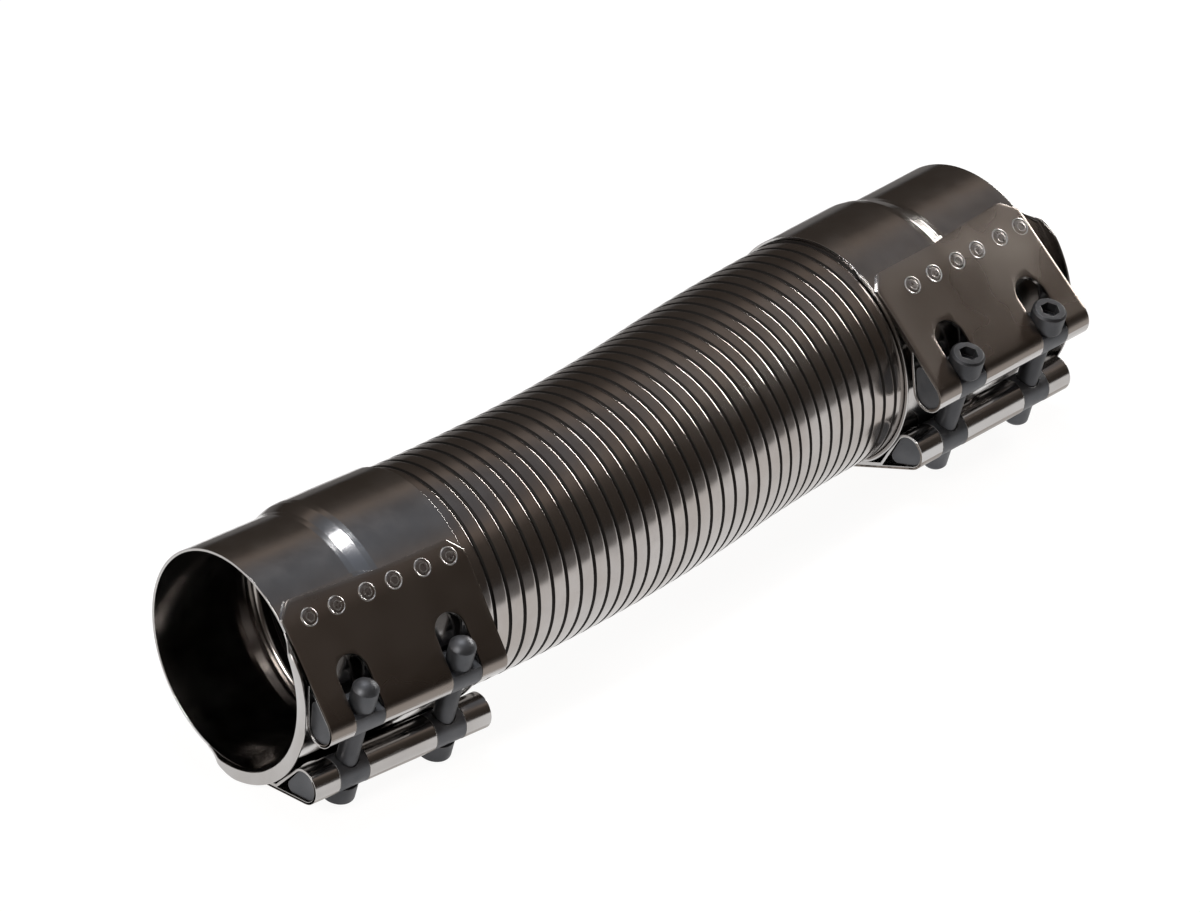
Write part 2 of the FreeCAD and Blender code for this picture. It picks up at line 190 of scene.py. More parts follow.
def hose_path_points(count):
    """Centre line of the hose and of its held ends: straight, out one way, back a little, straight."""
    radius = free_length / (bend_out + bend_back)
    points = []
    for k in range(count + 1):
        s = -held_length - line_spare + (free_length + 2 * (held_length + line_spare)) * k / count
        a = min(max(s, 0.0), free_length) / radius
        if a <= bend_out:
            heading = a
            x, y = radius * math.sin(a), radius * (1 - math.cos(a))
        else:
            heading = 2 * bend_out - a
            x = radius * (2 * math.sin(bend_out) - math.sin(heading))
            y = radius * (1 + math.cos(heading) - 2 * math.cos(bend_out))
        beyond = s if s < 0 else max(s - free_length, 0.0)
        x += beyond * math.cos(heading)
        y += beyond * math.sin(heading)
        points.append((clamp_width + x, y * math.cos(plane_lean), -y * math.sin(plane_lean)))
    return points


def path_curve(name, points):
    """Curve object of straight runs, which a tree reads as its path."""
    data = bpy.data.curves.new(name, "CURVE")
    data.dimensions = "3D"
    spline = data.splines.new("POLY")
    spline.points.add(len(points) - 1)
    for point, place in zip(spline.points, points):
        point.co = (*place, 1.0)
    made = bpy.data.objects.new(name, data)
    scene.collection.objects.link(made)
    return made


def set_curve(node, points):
    """Straight-sided curve in a Float Curve node through the given points."""
    line = node.mapping.curves[0]
    line.points[0].location = points[0]
    line.points[1].location = points[-1]
    for place in points[1:-1]:
        line.points.new(*place)
    for point in line.points:
        point.handle_type = "VECTOR"
    node.mapping.update()


def named_inputs(tree, sizes):
    """Adds a geometry input and an input for each size, and returns their identifiers."""
    kinds = {int: "NodeSocketInt", float: "NodeSocketFloat", tuple: "NodeSocketVector"}
    tree.interface.new_socket("Geometry", in_out="INPUT", socket_type="NodeSocketGeometry")
    found = {}
    for name, value in sizes.items():
        socket = tree.interface.new_socket(name, in_out="INPUT", socket_type=kinds[type(value)])
        socket.default_value = value
        found[name] = socket.identifier
    tree.interface.new_socket("Geometry", in_out="OUTPUT", socket_type="NodeSocketGeometry")
    return found


def run_tree(carrier, tree, identifiers, sizes, name):
    """Runs a tree on its carrier and returns the result as a plain mesh object."""
    modifier = carrier.modifiers.new("build", "NODES")
    modifier.node_group = tree
    for key, value in sizes.items():
        modifier[identifiers[key]] = value
    bpy.context.view_layer.update()
    evaluated = carrier.evaluated_get(bpy.context.evaluated_depsgraph_get())
    mesh = bpy.data.meshes.new_from_object(evaluated)
    mesh.name = name
    made = bpy.data.objects.new(name, mesh)
    scene.collection.objects.link(made)
    carrier.modifiers.remove(modifier)
    bpy.data.objects.remove(carrier)
    return made


def new_finish(name):
    """Empty metal finish: its tree, its shader node and the object's own coordinates."""
    material = bpy.data.materials.new(name)
    material.use_nodes = True
    tree = material.node_tree
    shader = tree.nodes["Principled BSDF"]
    shader.inputs["Metallic"].default_value = 1.0
    return material, tree, shader, add(tree, "ShaderNodeTexCoord").outputs["Object"]


def vector_maths(tree, operation, inputs):
    return add(tree, "ShaderNodeVectorMath", inputs, operation=operation).outputs


def noise(tree, vector, scale, detail, rough=0.55):
    return add(tree, "ShaderNodeTexNoise", {"Vector": vector, "Scale": scale, "Detail": detail,
                                            "Roughness": rough}).outputs[0]


def spread(tree, value, low, high, to_low, to_high):
    """Takes low to high over to to_low to to_high, and holds it there beyond."""
    return add(tree, "ShaderNodeMapRange", {0: value, 1: low, 2: high, 3: to_low, 4: to_high}).outputs[0]


def blend_colours(tree, share, a, b):
    """Colour a where share is 0 and b where it is 1."""
    node = add(tree, "ShaderNodeMix", data_type="RGBA")
    for socket, value in zip((node.inputs[0], node.inputs[6], node.inputs[7]), (share, a, b)):
        if isinstance(value, bpy.types.NodeSocket):
            tree.links.new(value, socket)
        else:
            socket.default_value = value if isinstance(value, float) else (*value, 1.0)
    return node.outputs[2]


hose_strip, tree, shader, place = new_finish("hose_strip")
wound = add(tree, "ShaderNodeUVMap", uv_map="strip").outputs[0]
turn = add(tree, "ShaderNodeSeparateXYZ", {0: wound})
across = maths(tree, "FRACT", turn.outputs[1])
groove_painted_shade = spread(tree, across, 0.765, 0.83, 0.0, 1.0)
stains = noise(tree, place, 26.0, 4.0, 0.6)
smears = noise(tree, place, 95.0, 3.0, 0.6)
drawn = vector_maths(tree, "MULTIPLY", {0: wound, 1: (9.0, 34.0, 1.0)})[0]
hairlines = noise(tree, drawn, 1.0, 2.0, 0.7)
per_turn = add(tree, "ShaderNodeTexWhiteNoise", {"W": maths(tree, "FLOOR", turn.outputs[1])},
               noise_dimensions="1D").outputs[0]
steel = blend_colours(tree, spread(tree, stains, 0.36, 0.66, 0.0, 1.0),
                      (0.37, 0.335, 0.31), (0.45, 0.425, 0.41))
steel = blend_colours(tree, spread(tree, smears, 0.55, 0.80, 0.0, 0.35), steel, (0.30, 0.28, 0.27))
steel = blend_colours(tree, maths(tree, "MULTIPLY", per_turn, 0.22), steel, (0.38, 0.37, 0.37))
# Painted shade: the groove between turns is painted near black, where shade falls in the recess
steel = blend_colours(tree, groove_painted_shade, steel, (0.035, 0.032, 0.030))
tree.links.new(steel, shader.inputs["Base Color"])
dulled = maths(tree, "ADD", spread(tree, smears, 0.3, 0.75, 0.13, 0.19),
               maths(tree, "MULTIPLY", hairlines, 0.05))
dulled = maths(tree, "MAXIMUM", dulled, maths(tree, "MULTIPLY", groove_painted_shade, 0.6))
tree.links.new(dulled, shader.inputs["Roughness"])
ripple = noise(tree, place, 90.0, 2.0)
bump = add(tree, "ShaderNodeBump", {"Strength": 0.03, "Distance": 0.0004, "Height": ripple})
tree.links.new(bump.outputs[0], shader.inputs["Normal"])

hose_sizes = {"Outer radius": hose_radius, "Wall": hose_wall, "Groove depth": groove_depth,
              "Turn pitch": turn_pitch, "Start": line_spare,
              "End": line_spare + free_length + 2 * held_length, "Lean": plane_lean,
              "Turns": 47, "Steps around": 104}
rows_per_turn = float(len(turn_profile) - 1)
bore_rows_per_turn = 2.0

hose_tree = bpy.data.node_groups.new("wind_hose", "GeometryNodeTree")
hose_ids = named_inputs(hose_tree, hose_sizes)
tree = hose_tree
source = add(tree, "NodeGroupInput").outputs
outer_rows = maths(tree, "MULTIPLY", source["Turns"], rows_per_turn)
bore_rows = maths(tree, "MULTIPLY", source["Turns"], bore_rows_per_turn)
last_row = maths(tree, "ADD", maths(tree, "ADD", outer_rows, bore_rows), 2.0)
grid = add(tree, "GeometryNodeMeshGrid", {
    "Size X": 1.0, "Size Y": 1.0, "Vertices X": maths(tree, "ADD", last_row, 1.0),
    "Vertices Y": maths(tree, "ADD", source["Steps around"], 1.0)})
flat = add(tree, "ShaderNodeSeparateXYZ", {0: add(tree, "GeometryNodeInputPosition").outputs[0]})
row = maths(tree, "ROUND", maths(tree, "MULTIPLY", maths(tree, "ADD", flat.outputs[0], 0.5), last_row))
around = maths(tree, "ADD", flat.outputs[1], 0.5)
# Rows run along the outside, back through the bore, and end where they began
last = maths(tree, "GREATER_THAN", row, maths(tree, "SUBTRACT", last_row, 0.5))
row = maths(tree, "MULTIPLY", row, maths(tree, "SUBTRACT", 1.0, last))
inside = maths(tree, "GREATER_THAN", row, maths(tree, "ADD", outer_rows, 0.5))
whole = maths(tree, "FLOOR", maths(tree, "DIVIDE", maths(tree, "ADD", row, 0.25), rows_per_turn))
share = maths(tree, "DIVIDE", maths(tree, "SUBTRACT", row, maths(tree, "MULTIPLY", whole, rows_per_turn)),
              rows_per_turn)
along_turn = add(tree, "ShaderNodeFloatCurve", {"Value": share})
set_curve(along_turn, [(k / rows_per_turn, across) for k, (across, height) in enumerate(turn_profile)])
outside_turns = maths(tree, "ADD", whole, along_turn.outputs[0])
bore_turns = maths(tree, "DIVIDE", maths(tree, "SUBTRACT", maths(tree, "SUBTRACT", last_row, 1.0), row),
                   bore_rows_per_turn)
turns = add(tree, "GeometryNodeSwitch", {"Switch": inside, "False": outside_turns, "True": bore_turns},
            input_type="FLOAT").outputs[0]
raw = maths(tree, "ADD", source["Start"], maths(tree, "MULTIPLY", source["Turn pitch"], maths(
    tree, "SUBTRACT", maths(tree, "ADD", turns, around), 1.0)))
s = maths(tree, "MINIMUM", maths(tree, "MAXIMUM", raw, source["Start"]), source["End"])
phase = maths(tree, "ADD", maths(tree, "SUBTRACT", maths(tree, "DIVIDE", maths(
    tree, "SUBTRACT", s, source["Start"]), source["Turn pitch"]), around), 1.0)
# The phase is nudged, so that a row that starts a turn isn't read as the end of the last one
into_turn = maths(tree, "FRACT", maths(tree, "ADD", phase, 0.00001))
height = add(tree, "ShaderNodeFloatCurve", {"Value": into_turn})
set_curve(height, turn_profile)
outer = maths(tree, "SUBTRACT", source["Outer radius"], maths(tree, "MULTIPLY", source["Groove depth"], maths(
    tree, "SUBTRACT", 1.0, height.outputs[0])))
bore = maths(tree, "SUBTRACT", source["Outer radius"], source["Wall"])
radius = add(tree, "GeometryNodeSwitch", {"Switch": inside, "False": outer, "True": bore},
             input_type="FLOAT").outputs[0]
centre = add(tree, "GeometryNodeSampleCurve", {"Curves": source["Geometry"], "Length": s}, mode="LENGTH")
plane_up = add(tree, "ShaderNodeCombineXYZ", {1: maths(tree, "SINE", source["Lean"]),
                                              2: maths(tree, "COSINE", source["Lean"])}).outputs[0]
ahead = centre.outputs["Tangent"]
sideways = vector_maths(tree, "CROSS_PRODUCT", {0: plane_up, 1: ahead})[0]
angle = maths(tree, "MULTIPLY", around, 2 * math.pi)


def scaled(vector, factor):
    return vector_maths(hose_tree, "SCALE", {0: vector, 3: factor})[0]


def summed(a, b):
    return vector_maths(hose_tree, "ADD", {0: a, 1: b})[0]


spoke = summed(scaled(sideways, maths(tree, "COSINE", angle)), scaled(plane_up, maths(tree, "SINE", angle)))
strip = add(tree, "ShaderNodeCombineXYZ", {0: around, 1: phase})
marked = add(tree, "GeometryNodeStoreNamedAttribute", {"Geometry": grid.outputs[0], "Name": "strip",
                                                       "Value": strip.outputs[0]},
             data_type="FLOAT2", domain="CORNER")
bent = add(tree, "GeometryNodeSetPosition", {"Geometry": marked.outputs[0], "Position": summed(
    centre.outputs["Position"], scaled(spoke, radius))})
joined = add(tree, "GeometryNodeMergeByDistance", {"Geometry": bent.outputs[0], "Distance": 0.000004})
smooth = add(tree, "GeometryNodeSetShadeSmooth", {"Geometry": joined.outputs[0]})
real = add(tree, "GeometryNodeRealizeInstances", {"Geometry": smooth.outputs[0]})
painted = add(tree, "GeometryNodeSetMaterial", {"Geometry": real.outputs[0], "Material": hose_strip})
add(tree, "NodeGroupOutput", {0: painted.outputs[0]})

hose_line = path_curve("hose_line", hose_path_points(line_steps))
hose = run_tree(hose_line, hose_tree, hose_ids, hose_sizes, "wound_hose")
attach(hose, "root")
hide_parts("flex_hose")

# Clamp bands: one polished stainless strip each, pressed with a step from the pipe's size to the
# hose's. Both ends leave the round part as flat plates, loop round a bar, fold back outside and are
# spot welded.


def edges_for_wear_and_highlight(tree, radius):
    """Normal of a surface with its edges rounded, and a share that is 1 along them."""
    rounded = add(tree, "ShaderNodeBevel", {"Radius": radius}, samples=6).outputs[0]
    true_face = add(tree, "ShaderNodeNewGeometry").outputs["Normal"]
    lined_up = vector_maths(tree, "DOT_PRODUCT", {0: rounded, 1: true_face})[1]
    return rounded, spread(tree, maths(tree, "SUBTRACT", 1.0, lined_up), 0.02, 0.25, 0.0, 1.0)


band_sheet, tree, shader, place = new_finish("band_sheet")
clouds = noise(tree, place, 16.0, 4.0, 0.55)
smears = noise(tree, place, 70.0, 4.0, 0.6)
rounded, edge = edges_for_wear_and_highlight(tree, 0.0004)
sheet = blend_colours(tree, spread(tree, clouds, 0.35, 0.65, 0.0, 1.0),
                      (0.40, 0.38, 0.365), (0.50, 0.49, 0.485))
sheet = blend_colours(tree, spread(tree, smears, 0.55, 0.85, 0.0, 0.4), sheet, (0.33, 0.315, 0.31))
# Painted highlight: along the rounded edges the sheet is lightened towards pale steel, standing in for the
# light the edges catch
sheet = blend_colours(tree, maths(tree, "MULTIPLY", edge, 0.8), sheet, (0.72, 0.70, 0.68))
tree.links.new(sheet, shader.inputs["Base Color"])
tree.links.new(spread(tree, smears, 0.3, 0.8, 0.10, 0.24), shader.inputs["Roughness"])
dents = maths(tree, "ADD", noise(tree, place, 38.0, 2.0),
              maths(tree, "MULTIPLY", noise(tree, place, 420.0, 2.0), 0.06))
bump = add(tree, "ShaderNodeBump", {"Strength": 0.22, "Distance": 0.0007, "Height": dents, "Normal": rounded})
tree.links.new(bump.outputs[0], shader.inputs["Normal"])
for name in ("inlet_clamp_band", "outlet_clamp_band"):
    frame["nodes"][name].material_slots[0].material = band_sheet

# Folded plates: the outer layer of each band's two ends, of the same stainless sheet, rougher and painted
# darker and browner than the band as painted shade for the dark room it reflects. Each is drawn tight from
# its loop over the step to the round part, with two clipped corners and a slot round each screw.
pipe_bore = 0.0509
hose_bore = 0.0537
sheet_t = 0.0012
step_end = 0.056
loop_out, loop_spread, loop_shift, loop_r = 0.062, 0.0177, 0.0045, 0.0084
tab_overlap, corner_along, corner_across = 0.013, 0.007, 0.008
bolt_places = (0.0225, 0.0775)
slot_half, slot_reach = 0.0084, 0.0259
proud = 0.0003
eased_edge = 0.00007
wrap_step = math.radians(9.0)


def clamp_place(name, roll, turned):
    """Matrix from the clamp's own frame (x inwards, loops towards -Y) to the row frame."""
    mount = next(m for m in frame["record"]["mounts"] if m["name"] == name)
    outwards, up = Vector(mount["axis"]), Vector((0, 0, 1))
    sideways = up.cross(outwards).normalized()
    upright = outwards.cross(sideways).normalized()
    flip = -1.0 if turned else 1.0
    level = sideways * flip
    c, s = math.cos(math.radians(roll)), math.sin(math.radians(roll))
    towards_loops = level * c - upright * s
    across_loops = (level * s + upright * c) * flip
    matrix = Matrix((-outwards, -towards_loops, across_loops)).transposed().to_4x4()
    matrix.translation = Vector(mount["pos_m"])
    return matrix


class PlateLine:
    """Section of one folded plate at a place along the clamp: side is 1 above and -1 below."""

    def __init__(self, side, x):
        self.side, self.x = side, x
        bore = pipe_bore + (hose_bore - pipe_bore) * min(x / step_end, 1.0)
        self.cu, self.cv = loop_out, side * loop_spread - loop_shift
        self.outer_r = bore + 2 * sheet_t
        distance = math.hypot(self.cu, self.cv)
        drop = self.outer_r - loop_r
        self.angle = math.atan2(abs(self.cv), self.cu) + math.acos(drop / distance)
        self.length = math.sqrt(distance ** 2 - drop ** 2)

    def tab(self, past, rise):
        """Point on the round part, this far past the plate's tangent and this much above it."""
        a = self.angle + past / self.outer_r
        r = self.outer_r + rise
        return Vector((self.x, -r * math.cos(a), self.side * r * math.sin(a)))

    def flat(self, back, out):
        """Point from distances along the plate and square to it."""
        c, s = math.cos(self.angle), math.sin(self.angle)
        return Vector((self.x, -(self.cu - back * s + out * c), self.cv + self.side * (back * c + out * s)))

    def loop(self, turned, rise):
        """Point on the loop, this far round from the plate."""
        a = math.pi / 2 + turned
        return self.flat((loop_r + rise) * math.cos(a), (loop_r + rise) * math.sin(a))


def plate_rows(side, x):
    """Outer and inner point of the sheet at each row, from the clipped tab edge round the loop."""
    line = PlateLine(side, x)
    clip = corner_across * max(0.0, 1.0 - min(x, clamp_width - x) / corner_along)
    rows = []
    for k in range(7):
        past = (tab_overlap + proud - clip) * (1 - k / 6)
        rows.append((line.tab(past, proud), line.tab(past, -sheet_t + proud)))
    for k in range(1, 9):
        back = line.length * (1 - k / 8)
        rows.append((line.flat(back, loop_r + proud), line.flat(back, loop_r - sheet_t + proud)))
    for k in range(1, 15):
        turned = wrap_step * k
        rise = proud * (1 - k / 6)
        rows.append((line.loop(turned, rise), line.loop(turned, rise - sheet_t)))
    return rows


def grid_shell(columns):
    """Closed sheet between the outer and inner points of a grid of rows."""
    count = len(columns[0])
    verts, faces = [], []
    for rows in columns:
        verts += [p for p, q in rows] + [q for p, q in rows]
    for i in range(len(columns) - 1):
        a, b = 2 * count * i, 2 * count * (i + 1)
        for j in range(count - 1):
            faces.append((a + j, b + j, b + j + 1, a + j + 1))
            faces.append((a + count + j, a + count + j + 1, b + count + j + 1, b + count + j))
        faces.append((a, a + count, b + count, b))
        j = count - 1
        faces.append((a + j, b + j, b + count + j, a + count + j))
    for a, turn in ((0, 1), (2 * count * (len(columns) - 1), -1)):
        for j in range(count - 1):
            faces.append((a + j, a + j + 1, a + count + j + 1, a + count + j)[::turn])
    return verts, faces


def slot_prism(side, x):
    """Round-topped prism that opens the slot round one screw, from beyond the loop up the plate."""
    line = PlateLine(side, clamp_width if x > clamp_width / 2 else x)
    beyond, below, above = -0.02, -0.012, 0.014
    outline = [(x - slot_half, beyond)]
    for k in range(25):
        a = math.pi * (1 - k / 24)
        outline.append((x + slot_half * math.cos(a), slot_reach - slot_half + slot_half * math.sin(a)))
    outline.append((x + slot_half, beyond))
    verts = []
    for out in (below, above):
        for along, back in outline:
            point = line.flat(back, out)
            verts.append(Vector((along, point.y, point.z)))
    n = len(outline)
    faces = [tuple(range(n)), tuple(range(2 * n - 1, n - 1, -1))]
    faces += [(k, k + n, (k + 1) % n + n, (k + 1) % n) for k in range(n)]
    return verts, faces


def mesh_object(name, verts, faces):
    """Object of a closed mesh, with its faces turned outwards."""
    mesh = bpy.data.meshes.new(name)
    mesh.from_pydata([tuple(v) for v in verts], [], faces)
    made = bpy.data.objects.new(name, mesh)
    scene.collection.objects.link(made)
    work = bmesh.new()
    work.from_mesh(mesh)
    bmesh.ops.recalc_face_normals(work, faces=work.faces)
    work.to_mesh(mesh)
    work.free()
    return made


def folded_plate(side):
    """One plate in the clamp's own frame, slotted and with its edges eased."""
    corner_spots = {0.0015, 0.0035, 0.0055, 0.093, 0.0945, 0.0965}
    spots = sorted({round(clamp_width * k / 40, 5) for k in range(41)} | corner_spots)
    plate = mesh_object("plate", *grid_shell([plate_rows(side, x) for x in spots]))
    cutters = [mesh_object("slot", *slot_prism(side, x)) for x in bolt_places]
    for cutter in cutters:
        cut = plate.modifiers.new("slot", "BOOLEAN")
        cut.object = cutter
        cut.solver = "EXACT"
    ease = plate.modifiers.new("ease", "BEVEL")
    ease.width = eased_edge
    ease.segments = 2
    ease.limit_method = "ANGLE"
    ease.angle_limit = math.radians(50)
    bpy.context.view_layer.update()
    mesh = bpy.data.meshes.new_from_object(plate.evaluated_get(bpy.context.evaluated_depsgraph_get()))
    for spare in [plate] + cutters:
        bpy.data.objects.remove(spare)
    return mesh


def join_meshes(name, meshes, finish):
    """One object in one finish from several meshes that are already in place."""
    work = bmesh.new()
    for mesh in meshes:
        work.from_mesh(mesh)
    mesh = bpy.data.meshes.new(name)
    work.to_mesh(mesh)
    work.free()
    mesh.materials.append(finish)
    mesh.polygons.foreach_set("use_smooth", [True] * len(mesh.polygons))
    mesh.set_sharp_from_angle(angle=math.radians(35))
    made = bpy.data.objects.new(name, mesh)
    scene.collection.objects.link(made)
    return made


plate_sheet_painted_shade, tree, shader, place = new_finish("plate_sheet_painted_shade")
clouds = noise(tree, place, 22.0, 2.0, 0.5)
# Painted shade: a darker, browner copy of the band's steel colour, standing in for the dark room the plates
# reflect
sheet = blend_colours(tree, spread(tree, clouds, 0.35, 0.65, 0.0, 1.0),
                      (0.215, 0.185, 0.163), (0.250, 0.220, 0.198))
tree.links.new(sheet, shader.inputs["Base Color"])
tree.links.new(spread(tree, clouds, 0.3, 0.7, 0.24, 0.33), shader.inputs["Roughness"])
waves = noise(tree, place, 24.0, 1.0)
bump = add(tree, "ShaderNodeBump", {"Strength": 0.06, "Distance": 0.0005, "Height": waves})
tree.links.new(bump.outputs[0], shader.inputs["Normal"])

clamp_places = {"inlet": clamp_place("inlet", 18.115, False),
                "outlet": clamp_place("outlet", 17.6, True)}
plates = {}
for end, placed in clamp_places.items():
    halves = [folded_plate(side) for side in (1, -1)]
    for half in halves:
        half.transform(placed)
        # The pipe lies on the table, so no part of a plate goes below it
        for vertex in half.vertices:
            vertex.co.z = max(vertex.co.z, floor_z)
    plates[end] = join_meshes(end + "_folded_plates", halves, plate_sheet_painted_shade)
    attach(plates[end], "root")

# Weld marks: six spot welds in a row fix each folded tab to the strip below it. Each electrode has
# left a shallow raised ring of bright steel with a darker, pitted middle.
weld_mark, tree, shader, place = new_finish("weld_mark")
raised = add(tree, "ShaderNodeAttribute", attribute_name="raised").outputs["Fac"]
heat = noise(tree, place, 800.0, 3.0)
ring_colour = blend_colours(tree, heat, (0.74, 0.72, 0.70), (0.50, 0.49, 0.48))
dish_colour = blend_colours(tree, heat, (0.20, 0.18, 0.17), (0.33, 0.31, 0.30))
tree.links.new(blend_colours(tree, raised, dish_colour, ring_colour), shader.inputs["Base Color"])
tree.links.new(spread(tree, heat, 0.3, 0.7, 0.24, 0.45), shader.inputs["Roughness"])
pitted = maths(tree, "MULTIPLY", heat, maths(tree, "SUBTRACT", 1.0, raised))
bump = add(tree, "ShaderNodeBump", {"Strength": 0.4, "Distance": 0.0002, "Height": pitted})
tree.links.new(bump.outputs[0], shader.inputs["Normal"])

weld_sizes = {"Marks": 6, "Ring radius": 0.0040, "Ring wire": 0.00046, "Pip radius": 0.0020,
              "Sink": 0.00018, "Scatter": 0.0007,
              "First": (0.0, 0.0, 0.0), "Last": (0.0, 0.0, 0.0), "Inwards": (0.0, 0.0, 0.0)}
weld_tree = bpy.data.node_groups.new("place_weld_marks", "GeometryNodeTree")
weld_ids = named_inputs(weld_tree, weld_sizes)
tree = weld_tree
source = add(tree, "NodeGroupInput").outputs
row = add(tree, "GeometryNodeMeshLine", {"Count": source["Marks"], "Start Location": source["First"],
                                         "Offset": source["Last"]}, mode="END_POINTS")
jitter = add(tree, "FunctionNodeRandomValue", {"Min": maths(tree, "MULTIPLY", source["Scatter"], -1.0),
                                               "Max": source["Scatter"], "Seed": 4}, data_type="FLOAT")
ahead = vector_maths(tree, "SUBTRACT", {0: source["Last"], 1: source["First"]})[0]
ahead = vector_maths(tree, "NORMALIZE", {0: ahead})[0]
shift = vector_maths(tree, "SCALE", {0: ahead, 3: jitter.outputs[1]})[0]
row = add(tree, "GeometryNodeSetPosition", {"Geometry": row.outputs[0], "Offset": shift})
# Each point drops onto the plate
hit = add(tree, "GeometryNodeRaycast", {"Target Geometry": source["Geometry"],
                                        "Ray Direction": source["Inwards"], "Ray Length": 0.05})
row = add(tree, "GeometryNodeSetPosition", {"Geometry": row.outputs[0],
                                            "Position": hit.outputs["Hit Position"]})
plate_up = vector_maths(tree, "SCALE", {0: source["Inwards"], 3: -1.0})[0]
upright = add(tree, "FunctionNodeAlignRotationToVector", {"Vector": plate_up}, axis="Z")
wire = add(tree, "GeometryNodeCurvePrimitiveCircle", {"Resolution": 8, "Radius": source["Ring wire"]})
mark = add(tree, "GeometryNodeJoinGeometry")
for radius, moved, flattened, bright in (
        ("Pip radius", (0.0004, -0.0003, 0.00012), (1.0, 1.0, 0.75), 0.35),
        ("Ring radius", (0.0, 0.0, 0.0), (1.0, 1.0, 1.0), 1.0)):
    ring = add(tree, "GeometryNodeCurvePrimitiveCircle", {"Resolution": 26, "Radius": source[radius]})
    ring = add(tree, "GeometryNodeCurveToMesh", {"Curve": ring.outputs[0], "Profile Curve": wire.outputs[0]})
    ring = add(tree, "GeometryNodeTransform", {"Geometry": ring.outputs[0], "Translation": moved,
                                               "Scale": flattened})
    ring = add(tree, "GeometryNodeStoreNamedAttribute", {"Geometry": ring.outputs[0], "Name": "raised",
                                                         "Value": bright}, data_type="FLOAT", domain="POINT")
    tree.links.new(ring.outputs[0], mark.inputs[0])
dish = add(tree, "GeometryNodeMeshUVSphere", {"Segments": 24, "Rings": 8, "Radius": source["Ring radius"]})
dish = add(tree, "GeometryNodeTransform", {"Geometry": dish.outputs[0], "Scale": (0.97, 0.97, 0.085)})
tree.links.new(dish.outputs[0], mark.inputs[0])
sunk = add(tree, "ShaderNodeCombineXYZ", {2: maths(tree, "MULTIPLY", source["Sink"], -1.0)})
mark = add(tree, "GeometryNodeTransform", {"Geometry": mark.outputs[0], "Translation": sunk.outputs[0]})
struck = add(tree, "GeometryNodeInstanceOnPoints", {"Points": row.outputs[0], "Instance": mark.outputs[0],
                                                    "Rotation": upright.outputs[0]})
smooth = add(tree, "GeometryNodeSetShadeSmooth", {"Geometry": struck.outputs[0]})
real = add(tree, "GeometryNodeRealizeInstances", {"Geometry": smooth.outputs[0]})
painted = add(tree, "GeometryNodeSetMaterial", {"Geometry": real.outputs[0], "Material": weld_mark})
add(tree, "NodeGroupOutput", {0: painted.outputs[0]})

# Where the first and last mark lie: along the clamp, and past the plate's tangent
mark_rows = {"inlet": ((0.0130, 0.0029), (0.0915, 0.0060)),
             "outlet": ((0.0055, -0.0014), (0.0810, 0.0008))}
ray_start = 0.004
for end, placed in clamp_places.items():
    (x_a, past_a), (x_b, past_b) = mark_rows[end]
    marks = []
    for side in (1, -1):
        first, last = (placed @ PlateLine(side, x).tab(past, ray_start) for x, past in mark_rows[end])
        middle, past = PlateLine(side, (x_a + x_b) / 2), (past_a + past_b) / 2
        inwards = placed.to_3x3() @ (middle.tab(past, 0.0) - middle.tab(past, 0.001)).normalized()
        carrier = bpy.data.objects.new("row", plates[end].data.copy())
        scene.collection.objects.link(carrier)
        sizes = dict(weld_sizes, First=tuple(first), Last=tuple(last), Inwards=tuple(inwards))
        marks.append(run_tree(carrier, weld_tree, weld_ids, sizes, "marks"))
    joined_marks = join_meshes(end + "_weld_marks", [piece.data for piece in marks], weld_mark)
    for piece in marks:
        bpy.data.objects.remove(piece)
    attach(joined_marks, "root")

# Gap bridges: a thinner stainless sheet, pressed with the same step, closes each band's gap from
# inside. Past both ends of the band it is welded to a collar with a turned-out lip, which stops the
# band from walking off it.
# The copy keeps the band's painted highlight along the rounded edges
bridge_sheet = band_sheet.copy()
bridge_sheet.name = "bridge_sheet"
bridge_t = 0.0009
edge_gap = 0.0003
lip_t = 0.001
bend_r = 0.0002
step_start = 0.044
pipe_reach = {"inlet": 0.003, "outlet": 0.008}
hose_reach = 0.0018
pipe_lip_rise, hose_lip_rise = 0.0061, 0.0019
# Where each collar starts and stops about the axis, and over how much it fades, in degrees
pipe_collar = {"inlet": (-87.0, 57.0, 24.0), "outlet": (-74.0, 57.0, 24.0)}
hose_collar = (-87.0, 44.0, 16.0)


def stepped_bore(x):
    share = min(max((x - step_start) / (step_end - step_start), 0.0), 1.0)
    return pipe_bore + (hose_bore - pipe_bore) * (0.5 - 0.5 * math.cos(math.pi * share))


def gap_angles():
    """Where the bridge's sheet clears the leaving band, below and above."""
    found = []
    for side in (-1, 1):
        limits = []
        rise = abs(side * loop_spread - loop_shift)
        for bore in (pipe_bore, hose_bore):
            clear = math.acos(bore / (bore + bridge_t + edge_gap))
            angle = math.atan2(rise, loop_out)
            angle += math.acos((bore + 2 * sheet_t - loop_r) / math.hypot(loop_out, rise))
            limits.append(angle - clear)
        found.append(side * min(limits))
    return found


def turned_shell(angles, section):
    """Closed shell of a section that may change with the angle, turned about the clamp's axis."""
    verts, faces = [], []
    for angle in angles:
        for x, r in section(angle):
            verts.append(Vector((x, -r * math.cos(angle), r * math.sin(angle))))
    n = len(verts) // len(angles)
    for i in range(len(angles) - 1):
        for j in range(n):
            a, b = n * i + j, n * i + (j + 1) % n
            faces.append((a, b, b + n, a + n))
    faces += [tuple(range(n)), tuple(range(len(verts) - 1, len(verts) - n - 1, -1))]
    return verts, faces


def steps_between(low, high, count):
    return [low + (high - low) * k / count for k in range(count + 1)]


def bridge_section(pipe_end, hose_end):
    """Sheet between the middles of the two lips, with its step."""
    before_step, after_step = 0.03, 0.07
    places = [pipe_end + lip_t / 2, before_step] + steps_between(step_start, step_end, 10)
    places += [after_step, hose_end - lip_t / 2]
    inner = [(x, stepped_bore(x)) for x in places]
    return inner + [(x, r + bridge_t) for x, r in reversed(inner)]


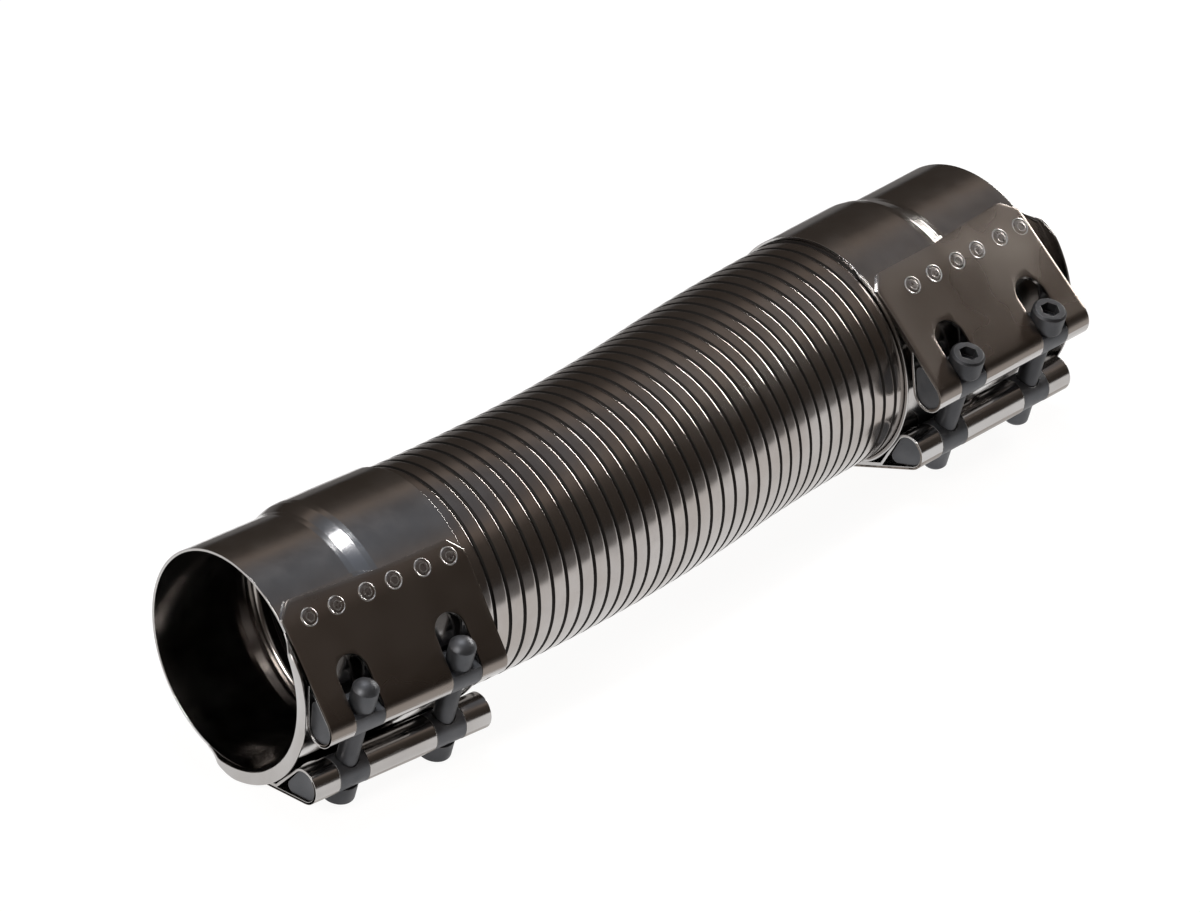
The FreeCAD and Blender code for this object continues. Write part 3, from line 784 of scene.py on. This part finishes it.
def collar_section(angle, fades, edge, end, bore, rise):
    """Collar and lip, with a rounded bend; both fade out towards their two ends."""
    start, stop, taper = (math.radians(value) for value in fades)
    near = min(max(min(angle - start, stop - angle) / taper, 0.0), 1.0)
    fade = near * near * (3 - 2 * near)
    top = bore + bridge_t + bend_r + (rise - bridge_t - bend_r) * fade
    reach = min(0.06 + 2.2 * fade, 1.0)
    end = edge + (end - edge) * reach
    t = math.copysign(lip_t, edge - end) * reach
    return [(edge, bore), (end + 0.8 * t, bore), (end + 0.25 * t, bore + bend_r), (end, bore + 0.0007),
            (end, top - bend_r), (end + 0.2 * t, top), (end + 0.8 * t, top), (end + t, top - bend_r),
            (end + t, bore + bridge_t + 0.00005), (edge, bore + bridge_t)]


for end, placed in clamp_places.items():
    pipe_end, hose_end = -pipe_reach[end], clamp_width + hose_reach
    low, high = gap_angles()
    shells = [turned_shell(steps_between(low, high, 60), lambda angle: bridge_section(pipe_end, hose_end))]
    for fades, edge, tip, bore, rise in (
            (pipe_collar[end], -edge_gap, pipe_end, pipe_bore, pipe_lip_rise),
            (hose_collar, clamp_width + edge_gap, hose_end, hose_bore, hose_lip_rise)):
        angles = steps_between(math.radians(fades[0]), math.radians(fades[1]), 84)
        shells.append(turned_shell(angles, lambda angle: collar_section(angle, fades, edge, tip, bore, rise)))
    meshes = []
    for verts, faces in shells:
        part = mesh_object("bridge", verts, faces)
        part.data.transform(placed)
        meshes.append(part.data)
        bpy.data.objects.remove(part)
    bridge = join_meshes(end + "_bridge_sheet", meshes, bridge_sheet)
    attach(bridge, "root")
    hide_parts(end + "_gap_bridge")

# Bars: two straight steel bars to each clamp, pushed through the band's loops. Each has a flush boss
# with a flat seat at each screw, and a dull dark coat that is worn along the edges.
bar_steel, tree, shader, place = new_finish("bar_steel")
shader.inputs["Metallic"].default_value = 0.75
coat = noise(tree, place, 240.0, 4.0, 0.6)
patches = noise(tree, place, 60.0, 3.0, 0.6)
rounded, worn = edges_for_wear_and_highlight(tree, 0.0005)
worn = maths(tree, "MULTIPLY", worn, spread(tree, coat, 0.35, 0.6, 0.2, 1.0))
coated = blend_colours(tree, spread(tree, patches, 0.35, 0.7, 0.0, 1.0),
                       (0.075, 0.078, 0.085), (0.13, 0.132, 0.14))
coated = blend_colours(tree, worn, coated, (0.38, 0.37, 0.36))
tree.links.new(coated, shader.inputs["Base Color"])
tree.links.new(spread(tree, coat, 0.3, 0.7, 0.38, 0.56), shader.inputs["Roughness"])
bump = add(tree, "ShaderNodeBump", {"Strength": 0.25, "Distance": 0.0002, "Height": coat, "Normal": rounded})
tree.links.new(bump.outputs[0], shader.inputs["Normal"])
for end in clamp_places:
    for piece in ("head_bar", "nut_bar"):
        frame["nodes"][end + "_" + piece].material_slots[0].material = bar_steel

# Screws: two cylinder-head screws with hexagon sockets to each clamp, cold headed from steel and
# blackened. Their heads bear on the seats of one bar, and they run through both into the nuts.
screw_steel = bar_steel.copy()
screw_steel.name = "screw_steel"
# The blend of the two coat colours is the one whose first colour is written in
coat_blend = next(node for node in screw_steel.node_tree.nodes
                  if node.type == "MIX" and not node.inputs[6].is_linked)
coat_blend.inputs[6].default_value = (0.045, 0.046, 0.050, 1.0)
coat_blend.inputs[7].default_value = (0.085, 0.086, 0.092, 1.0)
for end in clamp_places:
    for piece in ("clamp_screw_1", "clamp_screw_2"):
        frame["nodes"][end + "_" + piece].material_slots[0].material = screw_steel

# Nuts: a closed round nut with a domed end on each screw, turned from steel and coated like the
# bars. It bears on the flat seat of the other bar and hides the screw's end.
nut_steel = bar_steel.copy()
nut_steel.name = "nut_steel"
for end in clamp_places:
    for piece in ("round_nut_1", "round_nut_2"):
        frame["nodes"][end + "_" + piece].material_slots[0].material = nut_steel
